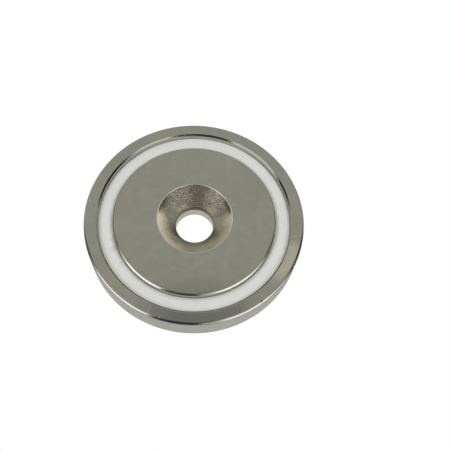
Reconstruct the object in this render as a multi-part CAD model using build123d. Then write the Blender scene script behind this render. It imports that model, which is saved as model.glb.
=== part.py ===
from build123d import *
import os

# A pot magnet with a countersunk screw hole, in millimetres.
#
# Three turned or moulded rings share one axis.  A shallow steel pot carries a ring magnet on its
# floor, and a plastic spacer ring lies in the groove between the magnet and the pot's wall.  The pot
# leads the magnet's flux up through its wall, so the rim and the magnet's face lie in one plane:
# that plane is the holding face.  A countersunk screw goes in from the holding face, seats in the
# magnet's cone and passes through the hole in the pot's floor.
#
# Frame: +Z is the axis, towards the holding face.  The origin is the centre of the back face.

# --- Steel pot -------------------------------------------------------------------------------
POT_DIAMETER = 60.0
POT_HEIGHT = 9.5
WALL_THICKNESS = 3.75
FLOOR_THICKNESS = 3.5
RIM_OUTER_CHAMFER = 0.55
RIM_INNER_CHAMFER = 0.45
BACK_CHAMFER = 1.3
HOLE_BREAK = 0.3  # broken edge where the screw hole leaves the back face

# --- Ring magnet -----------------------------------------------------------------------------
GROOVE_WIDTH = 4.0  # between the magnet and the pot's wall, which the flux must not jump
MAGNET_FACE_CHAMFER = 0.3  # narrow bright edge of the ground face
MAGNET_FOOT_CHAMFER = 0.4  # edge that stands on the floor
COUNTERSINK_DIAMETER = 20.5
COUNTERSINK_ANGLE = 90.0
MOUTH_BREAK = 0.2  # broken edge round the countersink's mouth

# --- Screw hole, the same through the magnet and the floor -------------------------------------
SCREW_HOLE_DIAMETER = 10.5

# --- Plastic spacer ring -----------------------------------------------------------------------
SPACER_SETBACK = 1.85  # from the holding face down to the spacer's top
SPACER_WALL_CLEARANCE = 0.05  # a close fit inside the pot's wall
SPACER_MAGNET_CLEARANCE = 0.05  # as close round the magnet
SPACER_EDGE_BREAK = 0.15

# --- Places that follow from the sizes above ----------------------------------------------------
pot_radius = POT_DIAMETER / 2
wall_radius = pot_radius - WALL_THICKNESS
magnet_radius = wall_radius - GROOVE_WIDTH
mouth_radius = COUNTERSINK_DIAMETER / 2
hole_radius = SCREW_HOLE_DIAMETER / 2
floor_level = FLOOR_THICKNESS
face_level = POT_HEIGHT


def turned(*corners):
    """The ring that a closed half section sweeps about the axis; corners are (radius, height)."""
    with BuildPart() as ring:
        with BuildSketch(Plane.XZ):
            with BuildLine():
                Polyline(*corners, close=True)
            make_face()
        revolve(axis=Axis.Z)
    return ring.part


def circle_at(body, radius, level):
    """The circular edge of a turned body that has this radius at this level."""
    near = 1e-4
    return body.edges().filter_by(GeomType.CIRCLE).filter_by(
        lambda edge: abs(edge.radius - radius) < near and abs(edge.arc_center.Z - level) < near
    )


def steel_pot():
    """The turned pot: a thick floor with the screw hole, and a wall that ends in the rim."""
    pot = turned(
        (hole_radius, 0),
        (pot_radius, 0),
        (pot_radius, face_level),
        (wall_radius, face_level),
        (wall_radius, floor_level),
        (hole_radius, floor_level),
    )
    pot = chamfer(circle_at(pot, pot_radius, face_level), RIM_OUTER_CHAMFER)
    pot = chamfer(circle_at(pot, wall_radius, face_level), RIM_INNER_CHAMFER)
    pot = chamfer(circle_at(pot, pot_radius, 0), BACK_CHAMFER)
    return chamfer(circle_at(pot, hole_radius, 0), HOLE_BREAK)


def ring_magnet():
    """The sintered ring: it stands on the pot's floor, and its face is flush with the rim."""
    with BuildPart() as magnet:
        with BuildSketch(Plane.XY.offset(floor_level)):
            Circle(magnet_radius)
        extrude(amount=face_level - floor_level)
        with Locations((0, 0, face_level)):
            CounterSinkHole(
                radius=hole_radius,
                counter_sink_radius=mouth_radius,
                counter_sink_angle=COUNTERSINK_ANGLE,
            )
        chamfer(circle_at(magnet, magnet_radius, face_level), MAGNET_FACE_CHAMFER)
        chamfer(circle_at(magnet, magnet_radius, floor_level), MAGNET_FOOT_CHAMFER)
        chamfer(circle_at(magnet, mouth_radius, face_level), MOUTH_BREAK)
    return magnet.part


def spacer_ring():
    """The moulded ring that lies in the groove and stops short of the holding face."""
    inner = magnet_radius + SPACER_MAGNET_CLEARANCE
    outer = wall_radius - SPACER_WALL_CLEARANCE
    top = face_level - SPACER_SETBACK
    spacer = turned((inner, floor_level), (outer, floor_level), (outer, top), (inner, top))
    spacer = chamfer(circle_at(spacer, inner, top), SPACER_EDGE_BREAK)
    return chamfer(circle_at(spacer, outer, top), SPACER_EDGE_BREAK)


pieces = {
    "steel_pot": steel_pot(),
    "ring_magnet": ring_magnet(),
    "spacer_ring": spacer_ring(),
}

os.makedirs("parts", exist_ok=True)
for node, shape in pieces.items():
    export_step(shape, f"parts/{node}.step")
    box = shape.bounding_box()
    print(f"{node}: {shape.volume:.1f} mm3, {box.min.Z:.2f} to {box.max.Z:.2f} mm high")
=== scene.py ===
# %% [markdown]
# # A pot magnet with a countersunk screw hole
#
# Three rings share one axis.  A shallow turned steel pot carries a ring magnet on its floor, and
# a white plastic ring lies in the groove between the two.  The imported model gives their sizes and
# places.  This file gives each of them its finished surface: the small roundings of every edge,
# the nicks and stains of a used part, the grain of the sintered magnet, and the light that makes
# polished nickel readable.  All lengths are in metres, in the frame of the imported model: +Z is
# the axis, and the pot lies on z = 0.

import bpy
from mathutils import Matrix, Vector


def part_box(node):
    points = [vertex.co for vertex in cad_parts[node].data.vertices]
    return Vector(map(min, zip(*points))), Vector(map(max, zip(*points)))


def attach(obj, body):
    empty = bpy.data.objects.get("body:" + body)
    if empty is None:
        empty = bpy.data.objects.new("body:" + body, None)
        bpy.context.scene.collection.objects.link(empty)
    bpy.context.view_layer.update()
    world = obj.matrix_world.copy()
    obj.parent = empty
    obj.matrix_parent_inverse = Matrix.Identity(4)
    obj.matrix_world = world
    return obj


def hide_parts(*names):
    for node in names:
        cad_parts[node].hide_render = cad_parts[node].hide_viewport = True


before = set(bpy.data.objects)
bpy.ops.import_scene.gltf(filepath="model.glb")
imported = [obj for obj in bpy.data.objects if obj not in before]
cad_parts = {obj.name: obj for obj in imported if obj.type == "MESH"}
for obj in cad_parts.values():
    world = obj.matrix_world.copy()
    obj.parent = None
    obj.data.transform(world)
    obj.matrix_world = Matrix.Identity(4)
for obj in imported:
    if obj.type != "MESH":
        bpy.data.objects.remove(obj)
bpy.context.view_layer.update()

# %% What else the cells need
import math

import bpy
import numpy as np
from mathutils import Matrix, Vector

MM = 0.001
scene = bpy.context.scene

# %% [markdown]
# ## The sizes
#
# The boxes of the three nodes give the radii and the levels.  What a box can't say, such as the
# width of a chamfer or the mouth of the countersink, is named here once.

# %% Read the sizes of the three rings
pot_low, pot_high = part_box("steel_pot")
magnet_low, magnet_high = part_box("ring_magnet")
spacer_low, spacer_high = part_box("spacer_ring")

WALL_THICKNESS = 3.75 * MM
RIM_OUTER_CHAMFER = 0.55 * MM
RIM_INNER_CHAMFER = 0.45 * MM
BACK_CHAMFER = 1.3 * MM
HOLE_BREAK = 0.3 * MM
COUNTERSINK_RADIUS = 10.2 * MM
HOLE_RADIUS = 5.25 * MM
MAGNET_EDGE = 0.44 * MM
MAGNET_FOOT = 0.4 * MM
SPACER_GAP = 0.02 * MM
SPACER_SPREAD = 0.03 * MM
SPACER_EDGE = 0.10 * MM

pot_radius = pot_high.x
face_level = pot_high.z
wall_radius = pot_radius - WALL_THICKNESS
magnet_radius = magnet_high.x
floor_level = magnet_low.z
cone_foot = face_level - (COUNTERSINK_RADIUS - HOLE_RADIUS)
spacer_inner = magnet_radius + SPACER_GAP
spacer_outer = spacer_high.x + SPACER_SPREAD
spacer_top = spacer_high.z
print(f"pot {2 * pot_radius / MM:.1f} across and {face_level / MM:.1f} high,",
      f"magnet {2 * magnet_radius / MM:.1f}, spacer top at {spacer_top / MM:.2f}")

# %% [markdown]
# ## The camera
#
# It looks down on the holding face from the front, at about 65 degrees, from close by, so that
# the far rim is a little smaller than the near one.  It is rolled a few degrees, as a hand-held
# or tilted camera is.

# %% Place the camera
CAMERA_PLACE = Vector((0.0, -74.2, 168.25)) * MM
CAMERA_AIM = Vector((8.50, -2.35, 9.5)) * MM
CAMERA_ROLL = math.radians(7.04)
LENS = 51.22
CLIP_NEAR, CLIP_FAR = 10 * MM, 20.0

camera = bpy.data.objects.new("camera", bpy.data.cameras.new("camera"))
camera.data.lens = LENS
camera.data.clip_start, camera.data.clip_end = CLIP_NEAR, CLIP_FAR
looking = (CAMERA_AIM - CAMERA_PLACE).to_track_quat("-Z", "Y").to_matrix().to_4x4()
roll = Matrix.Rotation(CAMERA_ROLL, 4, "Z")
camera.matrix_world = Matrix.Translation(CAMERA_PLACE) @ looking @ roll
scene.collection.objects.link(camera)
scene.camera = camera
scene.view_settings.view_transform = "Standard"
print("camera looks along", [round(v, 3) for v in -camera.matrix_world.col[2].xyz],
      "with its right hand along", [round(v, 3) for v in camera.matrix_world.col[0].xyz])

# %% [markdown]
# ## Nodes
#
# Every finish below is a small tree of shader nodes.  It could be drawn by hand in the Shader
# Editor.  Written out, a part of it can be used again, which a mark or a mask needs.  A few
# helpers keep the trees short to write: one adds a node and plugs things into it, and the others
# do a sum, a fade or a mix.

# %% Helpers for node trees
def add(tree, kind, feeds=None, **options):
    """Adds a node; feeds maps its inputs to plain values or to other nodes' outputs."""
    node = tree.nodes.new("ShaderNode" + kind)
    for name, value in options.items():
        setattr(node, name, value)
    for name, value in (feeds or {}).items():
        if isinstance(value, bpy.types.NodeSocket):
            tree.links.new(value, node.inputs[name])
        else:
            node.inputs[name].default_value = value
    return node


def calc(tree, operation, *values):
    """One step of arithmetic: the output of a Math node fed with these values."""
    return add(tree, "Math", dict(enumerate(values)), operation=operation).outputs[0]


def vector(tree, operation, feeds):
    """One step of vector arithmetic: the outputs of a Vector Math node with these feeds."""
    return add(tree, "VectorMath", feeds, operation=operation).outputs


def product(tree, first, *others):
    """All these values multiplied together."""
    for other in others:
        first = calc(tree, "MULTIPLY", first, other)
    return first


def fade(tree, value, start, end, low=0.0, high=1.0):
    """Goes smoothly from low to high while value goes from start to end, and stays there."""
    feeds = {"Value": value, "From Min": start, "From Max": end, "To Min": low, "To Max": high}
    return add(tree, "MapRange", feeds, interpolation_type="SMOOTHSTEP").outputs["Result"]


def mixed(tree, share, first, second):
    """The colour that goes from first to second as share goes from 0 to 1."""
    node = add(tree, "Mix", {0: share}, data_type="RGBA")
    for socket, colour in ((node.inputs[6], first), (node.inputs[7], second)):
        if isinstance(colour, bpy.types.NodeSocket):
            tree.links.new(colour, socket)
        else:
            socket.default_value = (*colour, 1.0)
    return node.outputs[2]


# %% [markdown]
# ## The light
#
# Polished metal shows its surroundings, so the light of this scene is a room and not only a few
# lamps.  It could be built from emitting cards round the object; a world shader that works out
# the brightness of each direction is simpler, has soft edges and no parallax.  The room is a grey
# tent.  Two wide soft boxes stand in front, left and right, with a dark gap between them where
# the camera stands.  The tent's seams at the two sides are dark, and so are its top and the
# horizon.

# %% Name the parts of the tent
TENT = (0.54, 0.535, 0.50)
BACKDROP = (1.0, 1.0, 1.0)
# Each part has the azimuth of its middle, its half width and the softness of its sides, then its
# lowest and highest elevation and the softness of those edges, all in degrees, and its brightness.
# A later part lies over an earlier one.
TENT_PARTS = {
    "zenith": (90, 200, 10, 77, 96, 6, (0.24, 0.24, 0.235)),
    "horizon": (90, 200, 10, -96, 4, 4, (0.13, 0.13, 0.125)),
    "left box": (-118, 60, 24, 2, 66, 12, (1.03, 1.05, 1.08)),
    "left box foot": (-116, 57, 22, 3, 19, 5, (1.86, 1.89, 2.02)),
    "right box": (-43, 24, 36, 2, 54, 10, (1.03, 1.05, 1.08)),
    "right box foot": (-52, 30, 25, 3, 18, 5, (1.86, 1.89, 2.02)),
    "gap's soft side": (-77, 9, 12, -2, 60, 8, (0.80, 0.80, 0.77)),
    "front gap": (-103, 20, 9, -2, 82, 8, (0.07, 0.07, 0.065)),
    "front gap shoulder": (-79, 10, 10, 24, 82, 8, (0.13, 0.13, 0.12)),
    "right room": (60, 45, 16, -22, 12, 4, (0.46, 0.46, 0.45)),
    "left room": (128, 37, 12, -22, 12, 4, (0.55, 0.55, 0.53)),
    "right seam": (-4.5, 23.5, 22, 14, 58, 5, (0.02, 0.02, 0.018)),
    "right seam foot": (4, 12, 11, -8, 16, 4, (0.035, 0.035, 0.03)),
    "left seam": (177, 11.5, 13, 8, 58, 5, (0.02, 0.02, 0.018)),
    "left seam foot": (171, 8, 10, -8, 8, 4, (0.22, 0.22, 0.21)),
    "back top": (88.5, 15, 2, 71.6, 84, 2, (0.285, 0.29, 0.295)),
}
print("the tent has", len(TENT_PARTS), "parts")

# %% Start the world from directions
world = bpy.data.worlds.new("tent")
scene.world = world
world.use_nodes = True
tree = world.node_tree
tree.nodes.clear()
direction = add(tree, "SeparateXYZ", {0: add(tree, "TexCoord").outputs["Generated"]})
azimuth = calc(tree, "DEGREES", calc(tree, "ARCTAN2", direction.outputs[1], direction.outputs[0]))
elevation = calc(tree, "DEGREES", calc(tree, "ARCSINE", direction.outputs[2]))
print("a direction becomes an azimuth and an elevation in", len(tree.nodes), "nodes")

# %% Shape a part of the tent
def tent_part(middle, half_width, side, lowest, highest, edge):
    """How much of a part lies in a direction: a soft window in azimuth times one in elevation."""
    turned = calc(tree, "WRAP", calc(tree, "SUBTRACT", azimuth, middle), 180.0, -180.0)
    aside = calc(tree, "ABSOLUTE", turned)
    across = fade(tree, aside, half_width + side / 2, half_width - side / 2)
    above = fade(tree, elevation, lowest - edge / 2, lowest + edge / 2)
    below = fade(tree, elevation, highest + edge / 2, highest - edge / 2)
    return product(tree, above, below, across)


# %% Build the tent
glow = TENT
for *window, colour in TENT_PARTS.values():
    glow = mixed(tree, tent_part(*window), glow, colour)
room = add(tree, "Background", {"Color": glow})
plain = add(tree, "Background", {"Color": (*BACKDROP, 1.0)})
seen = add(tree, "LightPath").outputs["Is Camera Ray"]
room_or_plain = add(tree, "MixShader", {0: seen, 1: room.outputs[0], 2: plain.outputs[0]})
add(tree, "OutputWorld", {"Surface": room_or_plain.outputs[0]})
print("the world's tree has", len(tree.nodes), "nodes")

# %% [markdown]
# The tent alone is too dim to make the plastic white.  Two large lamps high at the left and the
# right do that.  Mirror rays don't see them, so they light the white plastic and leave the nickel
# grey.

# %% Hang the two lamps
LAMP_DISTANCE = 0.9
LAMP_SIDE = 0.38
LAMP_COLOUR = (1.0, 0.985, 0.955)
LAMPS = {"lamp_left": (-148, 58, 1.75), "lamp_right": (-32, 58, 1.95)}  # azimuth, elevation, watts
middle = Vector((0, 0, face_level))
for name, (around, height, watts) in LAMPS.items():
    lamp = bpy.data.objects.new(name, bpy.data.lights.new(name, "AREA"))
    lamp.data.shape = "SQUARE"
    lamp.data.size = LAMP_SIDE
    lamp.data.energy = watts
    lamp.data.color = LAMP_COLOUR
    a, e = math.radians(around), math.radians(height)
    outward = Vector((math.cos(a) * math.cos(e), math.sin(a) * math.cos(e), math.sin(e)))
    lamp.location = middle + LAMP_DISTANCE * outward
    lamp.rotation_euler = (middle - lamp.location).to_track_quat("-Z", "Y").to_euler()
    lamp.visible_camera = False
    lamp.visible_glossy = False
    scene.collection.objects.link(lamp)
print("lamps:", list(LAMPS))

# %% [markdown]
# ## The table
#
# A plain white sheet, lit from below as a light table is, so that the part's shadow stays faint.
# It is small, so that a mirror ray that leaves a rounded edge at a grazing angle meets the dark
# horizon, and it glows less in the metal than before the camera, which sees it plain white.

# %% Lay the table
TABLE_RADIUS = 60 * MM
TABLE_SIDES = 96
TABLE_GLOW = 0.64
TABLE_SEEN_GLOW = 0.92


def angles(count):
    """Evenly spaced angles all the way round, from 0, as a column."""
    return np.linspace(0, 2 * math.pi, count, endpoint=False)[:, None]


a = angles(TABLE_SIDES)
round_edge = np.hstack([TABLE_RADIUS * np.cos(a), TABLE_RADIUS * np.sin(a), 0 * a])
sheet = bpy.data.meshes.new("table")
sheet.from_pydata(round_edge.tolist(), [], [list(range(TABLE_SIDES))])
table = bpy.data.objects.new("table", sheet)
scene.collection.objects.link(table)
print("table", 2 * TABLE_RADIUS, "m across")

# %% Finish the table
PAPER_DARKEST, PAPER_LIGHTEST = (0.19, 0.19, 0.19), (0.21, 0.21, 0.21)
paper = bpy.data.materials.new("white_table")
paper.use_nodes = True
tree = paper.node_tree
shader = tree.nodes["Principled BSDF"]
where = add(tree, "TexCoord").outputs["Object"]
tone = fade(tree, add(tree, "TexNoise", {"Vector": where, "Scale": 9.0}).outputs["Fac"], 0.2, 0.8)
grey = mixed(tree, tone, PAPER_DARKEST, PAPER_LIGHTEST)
tree.links.new(grey, shader.inputs["Base Color"])
shader.inputs["Roughness"].default_value = 0.7
shader.inputs["Emission Color"].default_value = (1.0, 1.0, 1.0, 1.0)
looked_at = add(tree, "LightPath").outputs["Is Camera Ray"]
table_glow = fade(tree, looked_at, 0.0, 1.0, TABLE_GLOW, TABLE_SEEN_GLOW)
tree.links.new(table_glow, shader.inputs["Emission Strength"])
sheet.materials.append(paper)
print("white_table:", len(tree.nodes), "nodes")

# %% [markdown]
# ## Turned surfaces
#
# A turned part is its half section carried round the axis.  Blender's Screw modifier or a spin
# would do it, but then the small marks of use would need sculpting afterwards.  Here the surface
# is a grid of points worked out with numpy, one direction along the outline and one round the
# axis, and every unevenness is simply added to the grid before it becomes a mesh.
#
# No real edge is sharp.  The first helper replaces each corner of the half section by a small
# arc.

# %% Round the corners of a half section
ARC_STEPS = 5
SUPPORT = 0.09 * MM
FINE, COARSE = 0.11 * MM, 2.0 * MM


def softened(corners):
    """Half section with rounded corners, as two arrays (radius, height) of one closed loop.

    Each corner is (radius, height, rounding, step of the straight stretch after it).  Its arc
    touches both sides at rounding / tan(half the corner's angle).  The arc's points turn evenly
    from one touching point to the other: with w the angle turned in all, point u is
    centre + (sin((1 - u) w) start + sin(u w) end) / sin(w).  A straight stretch gets a point close
    to each end, and others about a step apart; a very short one gets its middle only.
    """
    points = np.array([corner[:2] for corner in corners])
    rounding = np.array([corner[2] for corner in corners])[:, None]
    back = np.roll(points, 1, axis=0) - points
    ahead = np.roll(points, -1, axis=0) - points
    back /= np.linalg.norm(back, axis=1, keepdims=True)
    ahead /= np.linalg.norm(ahead, axis=1, keepdims=True)
    opening = np.arccos(np.clip((back * ahead).sum(axis=1, keepdims=True), -1, 1))
    reach = rounding / np.tan(opening / 2)
    inward = (back + ahead) / np.linalg.norm(back + ahead, axis=1, keepdims=True)
    centre = points + inward * rounding / np.sin(opening / 2)
    start, end = points + back * reach - centre, points + ahead * reach - centre
    w = math.pi - opening
    u = np.linspace(0, 1, ARC_STEPS + 1)[:, None, None]
    arcs = centre + (np.sin((1 - u) * w) * start + np.sin(u * w) * end) / np.sin(w)
    loop = []
    for k, (_, _, _, step) in enumerate(corners):
        arc = arcs[:, k]
        run = arcs[0, (k + 1) % len(corners)] - arc[-1]
        length = np.linalg.norm(run)
        inner = np.linspace(SUPPORT, length - SUPPORT, max(2, int(length / step) + 1))
        if length < 4 * SUPPORT:
            inner = np.array([length / 2])
        loop += [arc, arc[-1] + inner[:, None] * run / length]
    return np.concatenate(loop).T


# %% [markdown]
# The second helper makes the ring.  Its relief is a grid of heights, in metres, that moves each
# point along the outline's normal: positive is outwards.

# %% Turn a half section into a mesh
def turned_ring(name, outline, around, relief=0.0):
    """A closed ring mesh: x = r cos(a), y = r sin(a), z = z, with (r, z) moved by the relief.

    The outline runs counterclockwise in (r, z), so its normal to the right, (dz, -dr), points
    outwards.
    """
    radius, height = outline
    along = np.roll(outline, -1, axis=1) - np.roll(outline, 1, axis=1)
    along /= np.linalg.norm(along, axis=0)
    a = angles(around)
    r = radius + relief * along[1]
    z = height - relief * along[0] + 0 * a
    points = np.stack([r * np.cos(a), r * np.sin(a), z], axis=2)
    count = len(radius)
    here = np.arange(around)[:, None] * count + np.arange(count)
    beside = np.roll(here, -1, axis=0)
    across = [np.roll(beside, -1, axis=1), np.roll(here, -1, axis=1)]
    faces = np.stack([here, beside, *across], axis=2)
    mesh = bpy.data.meshes.new(name)
    mesh.from_pydata(points.reshape(-1, 3).tolist(), [], faces.reshape(-1, 4).tolist())
    mesh.shade_smooth()
    piece = bpy.data.objects.new(name, mesh)
    scene.collection.objects.link(piece)
    print(f"{name}: {count} points along, {around} round, {2 * around * count} triangles")
    return piece


# %% [markdown]
# ## Unevenness
#
# Three kinds are enough.  A slow wander round the axis is what a hand-held deburring tool or a
# worn polishing wheel leaves.  A dent is where the edge was struck.  Grain is the rough skin of
# the sintered magnet: white noise, blurred to the size of a grain, which repeats without a seam.
#
# A Displace modifier with a texture could do each of them.  As arrays they are simply added up,
# and the pieces need no modifiers.

# %% Helpers for unevenness
def wander(around, seed, waves=14):
    """Sum of cosines of random phase whose size falls with their number, scaled to about +-1."""
    rng = np.random.default_rng(seed)
    number = np.arange(2, 2 + waves)
    wave = np.cos(number * angles(around) + rng.uniform(0, 2 * math.pi, waves)) / number**0.7
    total = wave.sum(axis=1, keepdims=True)
    return total / np.abs(total).max()


def dent(outline, around, place, size, depth):
    """Minus depth times exp(-(distance / size) squared), by the distance in space from a place."""
    x, y = outline[0] * np.cos(angles(around)), outline[0] * np.sin(angles(around))
    apart = (x - place[0]) ** 2 + (y - place[1]) ** 2 + (outline[1] - place[2]) ** 2
    return -depth * np.exp(-apart / size**2)


def grain(outline, around, size, seed):
    """White noise with each frequency f weighed by exp(-5 (size f) squared), then spread to 1."""
    row_step = np.median(np.linalg.norm(np.diff(outline, axis=1), axis=0))
    column_step = 2 * math.pi * outline[0].mean() / around
    white = np.random.default_rng(seed).standard_normal((around, outline.shape[1]))
    across = np.fft.fftfreq(around, column_step)[:, None]
    down = np.fft.fftfreq(outline.shape[1], row_step)
    weight = np.exp(-5 * size**2 * (across**2 + down**2))
    blurred = np.fft.ifft2(np.fft.fft2(white) * weight).real
    return blurred / blurred.std()


def place_at(degrees, radius, level):
    """The point at an angle round the axis, a radius and a level."""
    a = math.radians(degrees)
    return radius * math.cos(a), radius * math.sin(a), level


# %% [markdown]
# ## The pot
#
# It is turned from a steel bar and nickel plated: a flat rim with a wide outer and a narrower
# inner chamfer, a straight wall, and a back edge with a wide chamfer.  Plating and handling
# rounded the edges, most where the outer chamfer meets the wall.  The rim has been knocked on
# other steel, so it has a few nicks.
#
# A Bevel modifier would round every edge alike.  Here each corner of the half section has a
# rounding of its own, so that the lip over the groove stays crisp beside the softer outer
# chamfer.

# %% Draw the pot's half section
EDGE = 0.07 * MM
BACK_ROUND = 0.2 * MM
RIM_WALL_ROUND = 0.6 * MM
RIM_TOP_ROUND = 0.35 * MM
LIP_TOP_ROUND = 0.2 * MM
LIP_WALL_ROUND = 0.3 * MM
GROOVE_ROUND = 0.1 * MM
pot_corners = [
    (HOLE_RADIUS + HOLE_BREAK, 0, EDGE, COARSE),
    (pot_radius - BACK_CHAMFER, 0, BACK_ROUND, COARSE / 4),
    (pot_radius, BACK_CHAMFER, BACK_ROUND, COARSE / 2),
    (pot_radius, face_level - RIM_OUTER_CHAMFER, RIM_WALL_ROUND, FINE),
    (pot_radius - RIM_OUTER_CHAMFER, face_level, RIM_TOP_ROUND, COARSE / 4),
    (wall_radius + RIM_INNER_CHAMFER, face_level, LIP_TOP_ROUND, FINE),
    (wall_radius, face_level - RIM_INNER_CHAMFER, LIP_WALL_ROUND, COARSE),
    (wall_radius, floor_level, GROOVE_ROUND, COARSE),
    (HOLE_RADIUS, floor_level, EDGE, COARSE),
    (HOLE_RADIUS, HOLE_BREAK, EDGE, COARSE),
]
pot_outline = softened(pot_corners)
print("the pot's half section has", pot_outline.shape[1], "points")

# %% Nick the rim and turn the pot
POT_AROUND = 840
RIM_UNEVEN = 0.006 * MM
NICKS = [  # angle, radius and level in degrees and millimetres, then size and depth
    (335.9, 29.85, 9.30, 0.30, 0.10),
    (334.1, 29.70, 9.35, 0.28, 0.09),
    (332.3, 29.70, 9.38, 0.25, 0.07),
    (320.5, 29.95, 8.60, 0.25, 0.05),
    (193.0, 26.40, 9.35, 0.30, 0.08),
    (96.4, 26.75, 9.45, 0.22, 0.05),
    (101.3, 26.45, 9.35, 0.18, 0.03),
    (252.3, 29.50, 9.42, 0.25, 0.025),
    (307.0, 29.45, 9.47, 0.22, 0.04),
]
pot_relief = np.zeros((POT_AROUND, pot_outline.shape[1]))
for angle, radius, level, size, depth in NICKS:
    struck = place_at(angle, radius * MM, level * MM)
    pot_relief = pot_relief + dent(pot_outline, POT_AROUND, struck, size * MM, depth * MM)
on_outer = pot_outline[0] > pot_radius - RIM_OUTER_CHAMFER
on_outer = on_outer & (pot_outline[1] > face_level - RIM_OUTER_CHAMFER)
pot_relief = pot_relief - on_outer * RIM_UNEVEN * (1 + wander(POT_AROUND, 3))
pot = turned_ring("nickel_pot", pot_outline, POT_AROUND, pot_relief)

# %% [markdown]
# ## The magnet
#
# The ring is pressed and sintered, ground flat on its face, and plated.  The face is smooth, and
# the countersink keeps the rough skin of the pressing, so its relief is real grain, and the few
# deeper pits are the grain's lowest places drawn out.  One side of the countersink is rougher
# than the other.
#
# Bump in the material would give the same speckle, but the edge of the screw hole would stay a
# clean curve.  Real relief breaks that edge too.

# %% Draw the magnet's half section
FOOT_ROUND = 0.05 * MM
SIDE_ROUND = 0.4 * MM
FACE_ROUND = 0.25 * MM
MOUTH_ROUND = 0.45 * MM
CONE_FOOT_ROUND = 0.15 * MM
magnet_corners = [
    (HOLE_RADIUS, floor_level, FOOT_ROUND, COARSE),
    (magnet_radius - MAGNET_FOOT, floor_level, EDGE, COARSE),
    (magnet_radius, floor_level + MAGNET_FOOT, EDGE, COARSE),
    (magnet_radius, face_level - MAGNET_EDGE, SIDE_ROUND, FINE),
    (magnet_radius - MAGNET_EDGE, face_level, FACE_ROUND, COARSE / 2),
    (COUNTERSINK_RADIUS, face_level, MOUTH_ROUND, FINE),
    (HOLE_RADIUS, cone_foot, CONE_FOOT_ROUND, FINE),
]
magnet_outline = softened(magnet_corners)
print("the magnet's half section has", magnet_outline.shape[1], "points")

# %% Roughen the countersink and turn the magnet
MAGNET_AROUND = 700
GRAIN_SIZE = 0.085 * MM
GRAIN_HEIGHT = 0.016 * MM
SMOOTH_LIP = 0.2 * MM
ROUGH_WITHIN = 0.5 * MM
SMOOTH_SIDE = 0.15
LOWEST, HIGHEST = -2.5, 1.5  # the grain's heights are cut off there
PITS_BELOW, PITS_DRAWN, PITS_DEEPEST = -1.4, 0.6, 2  # where pits start, how far they are drawn out
rough = np.clip((face_level - SMOOTH_LIP - magnet_outline[1]) / ROUGH_WITHIN, 0, 1)
rough = rough * (magnet_outline[0] < COUNTERSINK_RADIUS)
one_side = np.clip(SMOOTH_SIDE + np.sin(angles(MAGNET_AROUND)), 0, 1) ** 0.7
rough = rough * (SMOOTH_SIDE + (1 - SMOOTH_SIDE) * one_side)
skin = grain(magnet_outline, MAGNET_AROUND, GRAIN_SIZE, 11)
pits = PITS_DRAWN * np.clip(PITS_BELOW - skin, 0, PITS_DEEPEST)
magnet_relief = GRAIN_HEIGHT * rough * (np.clip(skin, LOWEST, HIGHEST) - pits)
magnet = turned_ring("nickel_magnet", magnet_outline, MAGNET_AROUND, magnet_relief)

# %% [markdown]
# ## The spacer
#
# A white moulded ring with slightly softened edges, a little uneven at its top as moulded rings
# are.  A flattened torus would do too.  The helper for turned rings gives it edges like the other
# two have.

# %% Shape the spacer
SPACER_AROUND = 480
SPACER_UNEVEN = 0.015 * MM
spacer_corners = [
    (spacer_inner, floor_level, EDGE, COARSE),
    (spacer_outer, floor_level, EDGE, COARSE),
    (spacer_outer, spacer_top, EDGE, COARSE / 6),
    (spacer_inner, spacer_top, SPACER_EDGE, COARSE),
]
spacer_outline = softened(spacer_corners)
on_top = spacer_outline[1] > spacer_top - SPACER_EDGE
spacer_relief = -SPACER_UNEVEN * on_top * (1 + wander(SPACER_AROUND, 5, 9))
spacer = turned_ring("white_spacer", spacer_outline, SPACER_AROUND, spacer_relief)

# %% [markdown]
# ## The marks of use
#
# A finish is even only when it is new.  Two small makers put marks where they belong: a spot with
# a ragged edge for a stain, and a stroke for a scratch.  Both work out how far a point of the
# surface is from the mark, and both read Object coordinates, so the marks stay on the metal.
# Marks painted on an image would need the surface unwrapped, and wouldn't move with a number.
# Each maker gives a function that adds its nodes to a tree, so that a finish can take a whole
# list of marks.

# %% Helpers for colour and clouds
def shaded(tree, share, colour, factor):
    """The colour times factor (a triple) where share is 1, and unchanged where it is 0."""
    node = add(tree, "Mix", {0: share, 6: colour}, data_type="RGBA", blend_type="MULTIPLY")
    node.inputs[7].default_value = (*factor, 1.0)
    return node.outputs[2]


def noise(tree, where, size, detail=2.0, roughness=0.5):
    """Soft random clouds about size millimetres across, from 0 to 1."""
    feeds = {"Vector": where, "Scale": 1 / (size * MM), "Detail": detail, "Roughness": roughness}
    return add(tree, "TexNoise", feeds).outputs["Fac"]


def off_axis(tree, where):
    """The distance from the rings' axis: the length of (x, y, 0)."""
    flat = vector(tree, "MULTIPLY", {0: where, 1: (1.0, 1.0, 0.0)})[0]
    return vector(tree, "LENGTH", {0: flat})["Value"]


# %% Makers of spots and strokes
def spot(place, reach, ragged=0.35):
    """1 at a place (x, y, z), falling softly to 0 at about reach: all in millimetres.

    The distance from the place is first made longer or shorter by clouds, by ragged times reach
    at most.
    """
    centre = [v * MM for v in place]

    def share(tree, where):
        feeds = {"Vector": where, "Scale": 900.0 / reach, "Detail": 3.0}
        torn = calc(tree, "SUBTRACT", add(tree, "TexNoise", feeds).outputs["Fac"], 0.5)
        apart = vector(tree, "DISTANCE", {0: where, 1: centre})["Value"]
        pushed = calc(tree, "ADD", apart, product(tree, torn, 2 * ragged * reach * MM))
        return fade(tree, pushed, reach * MM, 0.25 * reach * MM)

    return share


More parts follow.
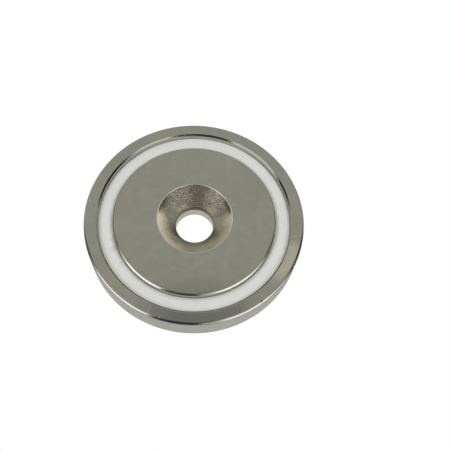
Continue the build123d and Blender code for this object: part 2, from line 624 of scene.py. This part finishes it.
def stroke(start, end, width, bow=0.0, core=0.3):
    """1 on a line from start to end, bent by bow, falling to 0 at its width: all in millimetres.

    With t the share of the way along, held between 0 and 1, the line is start + t (end - start),
    moved sideways by 4 bow t (1 - t).  Within core times the width it is 1 all over.
    """
    run = Vector((end[0] - start[0], end[1] - start[1], 0.0)) * MM
    aside = Vector((-run.y, run.x, 0.0)).normalized()
    origin = [v * MM for v in start]

    def share(tree, where):
        from_start = vector(tree, "SUBTRACT", {0: where, 1: origin})[0]
        along = vector(tree, "DOT_PRODUCT", {0: from_start, 1: run})["Value"]
        feeds = {0: along, 1: 1 / run.length_squared}
        t = add(tree, "Math", feeds, operation="MULTIPLY", use_clamp=True).outputs[0]
        bend = product(tree, t, calc(tree, "SUBTRACT", 1.0, t), 4 * bow * MM)
        reached = vector(tree, "SCALE", {0: run, "Scale": t})[0]
        bent = vector(tree, "SCALE", {0: aside, "Scale": bend})[0]
        line = vector(tree, "ADD", {0: reached, 1: bent})[0]
        apart = vector(tree, "DISTANCE", {0: from_start, 1: line})["Value"]
        return fade(tree, apart, width * MM, core * width * MM)

    return share


# %% [markdown]
# ## Nickel
#
# Nickel plating is a warm grey mirror.  What makes it metal and not grey plastic is that its
# colour lies in the reflection.  Its colour is uneven by a few percent in clouds of several
# sizes, its gloss varies with them, and the turned lines under it still show as a faint relief in
# rings.  One maker serves both rings, because both carry the same plating and differ in tint,
# gloss and relief only.

# %% Make plated nickel
RIM_OF_VIEW = (0.90, 0.90, 0.89)  # what is left of the mirror's strength at grazing angles
COOL, WARM = (0.975, 0.980, 0.978), (1.020, 1.020, 1.002)
RELIEF_DEPTH = 0.004 * MM


def nickel(name, tint, gloss, ring_depth, marks):
    """Plated nickel: clouds of tint and gloss, and rings of relief.

    Each mark is (its share, its factor on the colour, how much it adds to the roughness).  Gives
    the material and, by name, the outputs that a later cell builds on.
    """
    material = bpy.data.materials.new(name)
    material.use_nodes = True
    tree = material.node_tree
    shader = tree.nodes["Principled BSDF"]
    shader.inputs["Metallic"].default_value = 1.0
    shader.inputs["Specular Tint"].default_value = (*RIM_OF_VIEW, 1.0)
    where = add(tree, "TexCoord").outputs["Object"]
    radius, level = off_axis(tree, where), add(tree, "SeparateXYZ", {0: where}).outputs[2]
    broad, clouds = noise(tree, where, 11, 2), noise(tree, where, 2.6, 3)
    speckle = noise(tree, where, 0.28, 3)
    cool, warm = [tuple(c * f for c, f in zip(tint, cast)) for cast in (COOL, WARM)]
    colour = mixed(tree, fade(tree, broad, 0.35, 0.65), cool, warm)
    colour = shaded(tree, fade(tree, clouds, 0.62, 0.42), colour, (0.955, 0.955, 0.965))
    colour = shaded(tree, fade(tree, speckle, 0.66, 0.40), colour, (0.96, 0.955, 0.94))
    rough = fade(tree, clouds, 0.3, 0.7, gloss * 1.35, gloss * 0.85)
    for share_of, factor, dullness in marks:
        share = share_of(tree, where)
        colour = shaded(tree, share, colour, factor)
        rough = calc(tree, "ADD", rough, product(tree, share, dullness))
    ringed = add(tree, "CombineXYZ", {0: radius, 1: level, 2: 0.0}).outputs[0]
    lines = noise(tree, ringed, 0.16, 4, 0.65)
    relief = calc(tree, "ADD", product(tree, lines, ring_depth), clouds)
    bump = add(tree, "Bump", {"Height": relief, "Strength": 1.0, "Distance": RELIEF_DEPTH})
    tree.links.new(colour, shader.inputs["Base Color"])
    tree.links.new(rough, shader.inputs["Roughness"])
    tree.links.new(bump.outputs[0], shader.inputs["Normal"])
    made = {"where": where, "radius": radius, "level": level, "colour": colour, "rough": rough}
    return material, made


# %% [markdown]
# ## The pot's finish
#
# The rim carries the marks: a brown stain at the left, a paler place at the right, a scratch
# across it, a few specks.  The wall has stayed as it left the lathe, so its mirror is duller than
# the rim's, and the wall of the screw hole is painted a little brighter, a painted reflection.
# Each of these could be a material of its own; masks within one material let them fade into each
# other.

# %% Finish the pot
POT_TINT = (0.470, 0.470, 0.420)
POT_GLOSS, POT_RINGS = 0.09, 0.5
WALL_DULLNESS = 0.3


def bore_painted_reflection(tree, where):
    """1 on the wall of the screw hole, 0 elsewhere."""
    return fade(tree, off_axis(tree, where), HOLE_RADIUS + 0.2 * MM, HOLE_RADIUS + 0.05 * MM)


pot_marks = [  # where it is, what it does to the colour, how much it dulls
    # painted reflection: the wall of the screw hole is painted brighter
    (bore_painted_reflection, (1.19, 1.14, 1.08), 0.05),
    (spot((-20.35, -18.5, 9.5), 2.3), (1.16, 1.06, 1.0), 0.06),
    (spot((-22.6, -15.2, 9.5), 1.6), (1.0, 0.98, 0.93), 0.03),
    # a paler place on the rim at the right, half again as bright
    (stroke((22.6, -15.4, 9.5), (26.4, -9.2, 9.5), 3.8, -0.9, 0.0), (1.52, 1.50, 1.43), 0.02),
    (spot((27.3, -7.6, 9.5), 1.7), (1.12, 1.02, 1.0), 0.05),
    (stroke((26.45, -5.04, 9.5), (29.2, -4.45, 9.5), 0.34, -0.25), (1.22, 1.18, 1.15), 0.10),
    (spot((-28.6, 4.6, 9.4), 0.6), (1.25, 1.25, 1.22), 0.05),
    (stroke((-11.0, -24.9, 9.5), (-11.75, -26.6, 9.5), 0.28, 0.1), (1.12, 1.12, 1.11), 0.06),
    (spot((17.6, -23.5, 9.5), 0.45), (0.55, 0.53, 0.48), 0.1),
    (spot((20.2, -16.4, 9.5), 0.5), (1.2, 1.2, 1.15), 0.05),
]
pot_nickel, made = nickel("pot_nickel", POT_TINT, POT_GLOSS, POT_RINGS, pot_marks)
tree = pot_nickel.node_tree
wall = fade(tree, made["radius"], pot_radius - 0.25 * MM, pot_radius - 0.08 * MM)
duller = calc(tree, "ADD", made["rough"], product(tree, wall, WALL_DULLNESS))
tree.links.new(duller, tree.nodes["Principled BSDF"].inputs["Roughness"])
pot.data.materials.append(pot_nickel)
print("pot_nickel:", len(tree.nodes), "nodes")

# %% [markdown]
# ## The magnet's finish
#
# The face is the same plating, with a few specks beside the countersink and two dim clouds.  The
# countersink still has the skin of the pressing: duller, darker and yellower, speckled at the
# size of the grain, with painted shade on the near side where the screw hole starts.  The finish
# starts as plated nickel, and the next cells lay the countersink and the painted highlights of the
# edges over it.

# %% Start the magnet's finish
MAGNET_TINT = (0.470, 0.473, 0.422)
MAGNET_GLOSS, MAGNET_RINGS = 0.12, 0.25
magnet_marks = [
    (spot((9.75, 5.6, 9.5), 0.55, 0.8), (1.13, 1.13, 1.12), 0.08),
    (spot((10.6, 4.0, 9.5), 0.5, 0.8), (1.14, 1.14, 1.13), 0.08),
    (spot((11.1, 1.9, 9.5), 0.45, 0.8), (1.12, 1.12, 1.11), 0.08),
    (spot((3.8, 10.3, 9.5), 0.6, 0.8), (1.12, 1.12, 1.12), 0.08),
    (spot((-17.9, -12.4, 9.5), 1.2, 0.5), (0.97, 0.90, 0.86), 0.06),
    (spot((18.6, 9.5, 9.5), 4.2, 0.6), (0.96, 0.96, 0.98), 0.02),
    (spot((6.0, -19.0, 9.5), 5.0, 0.6), (0.975, 0.975, 0.98), 0.02),
]
magnet_nickel, made = nickel(
    "magnet_nickel", MAGNET_TINT, MAGNET_GLOSS, MAGNET_RINGS, magnet_marks)
tree = magnet_nickel.node_tree
where, radius, level = made["where"], made["radius"], made["level"]
x, y = add(tree, "SeparateXYZ", {0: where}).outputs[:2]
print("magnet_nickel starts with", len(tree.nodes), "nodes")

# %% [markdown]
# The countersink isn't the same all round, and these differences are painted light and shade: a
# painted dark reflection at the back, where the grain shows most, painted light at the left and
# the right, and painted dark reflections again under the two shoulders of the mouth.  Each of
# these is a share from 0 to 1, worked out from how far the place lies along a direction, and torn
# a little by soft clouds.

# %% Map the countersink
grains, patches = noise(tree, where, 0.24, 2, 0.6), noise(tree, where, 3.0, 3)
TORN_BY = 6 * MM


def towards(degrees, start, end):
    """0 to 1 as the place lies further along a direction, from start to end in millimetres."""
    a = math.radians(degrees)
    along = calc(tree, "ADD", product(tree, x, math.cos(a)), product(tree, y, math.sin(a)))
    torn = product(tree, calc(tree, "SUBTRACT", patches, 0.5), TORN_BY)
    return fade(tree, calc(tree, "ADD", along, torn), start * MM, end * MM)


def below_mouth(start, end):
    """0 to 1 as the radius goes from start to end, in millimetres inward from the mouth's edge."""
    return fade(tree, radius, COUNTERSINK_RADIUS - start * MM, COUNTERSINK_RADIUS - end * MM)


def round_hole(start, end):
    """0 to 1 as the radius goes from start to end, in millimetres outward from the hole's wall."""
    return fade(tree, radius, HOLE_RADIUS + start * MM, HOLE_RADIUS + end * MM)


inside = below_mouth(0.0, 0.15)
# painted dark reflection at the back of the countersink and under its mouth there
painted_dark_under_mouth = product(tree, towards(88, 1.0, 4.0), below_mouth(1.9, 1.0))
painted_dark_back = calc(tree, "MAXIMUM", towards(80, 1.5, 6.0), painted_dark_under_mouth)
# painted light: the left of the countersink is painted pale, as if lit by the right lamp
painted_light_left = towards(204, 4.8, 9.8)
behind = product(tree, fade(tree, y, 0.8 * MM, 2.6 * MM), fade(tree, y, 7.4 * MM, 4.8 * MM))
# painted dark reflections under the two shoulders of the mouth
painted_shoulder_reflections = product(tree, behind, below_mouth(1.2, 0.2))
# painted shade on the near side where the screw hole starts
painted_hole_shade = product(tree, round_hole(3.8, 0.3), towards(262, -0.5, 3.0))
# the grain shows most at the back, where the dark reflection is painted
dark_grains = product(tree, fade(tree, grains, 0.50, 0.38), fade(tree, painted_dark_back, 0.0, 1.0, 0.25, 1.0))
light_grains = product(tree, fade(tree, grains, 0.53, 0.66), painted_dark_back)
print("the map brings it to", len(tree.nodes), "nodes")

# %% Colour the countersink
CONE_TINT = (0.535, 0.513, 0.400)
CONE_SHADES = [
    # painted light at the left
    (painted_light_left, (1.85, 1.87, 2.1)),
    (towards(212, 3.5, 7.5), (1.01, 0.97, 0.88)),
    # painted light at the right of the countersink
    (towards(-28, 5.0, 9.5), (1.45, 1.42, 1.36)),
    # painted dark reflection at the back
    (painted_dark_back, (0.48, 0.468, 0.455)),
    (towards(88, 6.5, 9.5), (0.96, 0.89, 0.90)),
    (dark_grains, (0.22, 0.20, 0.17)),
    (light_grains, (2.2, 2.3, 2.25)),
    # painted dark reflections under the shoulders
    (painted_shoulder_reflections, (0.42, 0.43, 0.42)),
    # painted shade by the screw hole
    (painted_hole_shade, (0.38, 0.365, 0.34)),
    (round_hole(0.35, 0.1), (0.5, 0.47, 0.42)),
]
darker_tint = tuple(0.92 * c for c in CONE_TINT)
cone = mixed(tree, fade(tree, patches, 0.35, 0.65), darker_tint, CONE_TINT)
for share, factor in CONE_SHADES:
    cone = shaded(tree, share, cone, factor)
print("the countersink has", len(CONE_SHADES), "shades")

# %% [markdown]
# The edges carry painted highlights.  The mouth of the countersink is a narrow pale line of
# painted highlight, clearest at the back, and the outer edge of the face is painted a little
# brighter than the face, another painted highlight.  The Geometry node's Pointiness could find
# these edges, but it depends on the mesh, and the radius is known.  Inside the countersink the
# skin is partly metal and partly the dull crust of the pressing, which a Metallic between 0 and 1
# stands for.

# %% Paint highlights on the edges and join the magnet's finish
MOUTH_HIGHLIGHT = (1.0, 0.98, 0.90)
MOUTH_GLOSS = 0.26
CONE_GLOSS, BACK_DULLNESS = 0.20, 0.12
CONE_METAL, LEFT_CRUST = 0.55, 0.3
clearer_behind = fade(tree, y, -6 * MM, 3 * MM, 0.35, 1.0)
# painted highlight along the mouth of the countersink, clearest at the back
mouth_line = product(
    tree, below_mouth(0.12, -0.02), below_mouth(-0.25, -0.10), clearer_behind)
outer_edge = product(
    tree, fade(tree, radius, magnet_radius - 0.6 * MM, magnet_radius - 0.4 * MM),
    fade(tree, level, face_level - 1.2 * MM, face_level - 0.5 * MM))
# painted highlight: the outer edge of the face is painted brighter
face = shaded(tree, outer_edge, made["colour"], (1.3, 1.3, 1.28))
# the back, painted dark as a reflection, is also duller
skin_rough = calc(tree, "ADD", fade(tree, grains, 0.3, 0.7, CONE_GLOSS * 1.15, CONE_GLOSS * 0.9),
                  product(tree, painted_dark_back, BACK_DULLNESS))
rough = add(tree, "Mix", {0: inside, 2: made["rough"], 3: skin_rough}).outputs[0]
rough = add(tree, "Mix", {0: mouth_line, 2: rough, 3: MOUTH_GLOSS}).outputs[0]
metal = fade(tree, calc(tree, "SUBTRACT", inside, mouth_line), 0.0, 1.0, 1.0, CONE_METAL)
# less metal at the left, where the light is painted
metal = calc(tree, "SUBTRACT", metal, product(tree, painted_light_left, inside, LEFT_CRUST))
shader = tree.nodes["Principled BSDF"]
# the mouth line takes the painted highlight's colour
colour = mixed(tree, mouth_line, mixed(tree, inside, face, cone), MOUTH_HIGHLIGHT)
tree.links.new(colour, shader.inputs["Base Color"])
tree.links.new(rough, shader.inputs["Roughness"])
tree.links.new(metal, shader.inputs["Metallic"])
magnet.data.materials.append(magnet_nickel)
print("magnet_nickel:", len(tree.nodes), "nodes")

# %% [markdown]
# ## The plastic
#
# Moulded white plastic with a satin skin.  The ring is painted greyer along the magnet, a painted
# shade where the two meet, and a few smudges lie further out.  Only the colour needs masks: the
# skin itself is even, but for a fine bump.

# %% Finish the spacer
SPACER_TINT = (0.865, 0.888, 0.870)
MAGNET_SHADE, MAGNET_SHADE_REACH = (0.76, 0.73, 0.70), 1.3 * MM
SMUDGES = [
    (spot((-21.4, -8.7, 7.65), 1.5, 0.7), (0.90, 0.84, 0.78)),
    (spot((-22.0, -6.0, 7.65), 1.2, 0.7), (0.95, 0.92, 0.88)),
    (spot((-19.4, -12.8, 7.65), 1.0, 0.7), (0.93, 0.90, 0.86)),
]
spacer_white = bpy.data.materials.new("spacer_white")
spacer_white.use_nodes = True
tree = spacer_white.node_tree
shader = tree.nodes["Principled BSDF"]
where = add(tree, "TexCoord").outputs["Object"]
clouds, fine = noise(tree, where, 3.0, 3), noise(tree, where, 0.35, 3)
greyer_tint = tuple(0.975 * c for c in SPACER_TINT)
colour = mixed(tree, fade(tree, clouds, 0.35, 0.65), greyer_tint, SPACER_TINT)
colour = shaded(tree, fade(tree, fine, 0.65, 0.40), colour, (0.985, 0.985, 0.98))
torn = product(tree, calc(tree, "SUBTRACT", clouds, 0.5), 0.5 * MM)
from_axis = calc(tree, "ADD", off_axis(tree, where), torn)
# painted shade along the magnet
colour = shaded(tree, fade(tree, from_axis, spacer_inner + MAGNET_SHADE_REACH, spacer_inner), colour, MAGNET_SHADE)
for share_of, factor in SMUDGES:
    colour = shaded(tree, share_of(tree, where), colour, factor)
bump = add(tree, "Bump", {"Height": fine, "Strength": 0.6, "Distance": 0.01 * MM})
tree.links.new(colour, shader.inputs["Base Color"])
tree.links.new(fade(tree, fine, 0.3, 0.7, 0.42, 0.54), shader.inputs["Roughness"])
tree.links.new(bump.outputs[0], shader.inputs["Normal"])
spacer.data.materials.append(spacer_white)
print("spacer_white:", len(tree.nodes), "nodes")

# %% [markdown]
# ## Joining the frame
#
# Each finished ring takes the place of its node and rides on the only body.

# %% Ride and replace
for piece, node, slot in (
    (pot, "steel_pot", "pot_plating"),
    (magnet, "ring_magnet", "magnet_plating"),
    (spacer, "spacer_ring", "white_plastic"),
):
    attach(piece, "root")
    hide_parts(node)
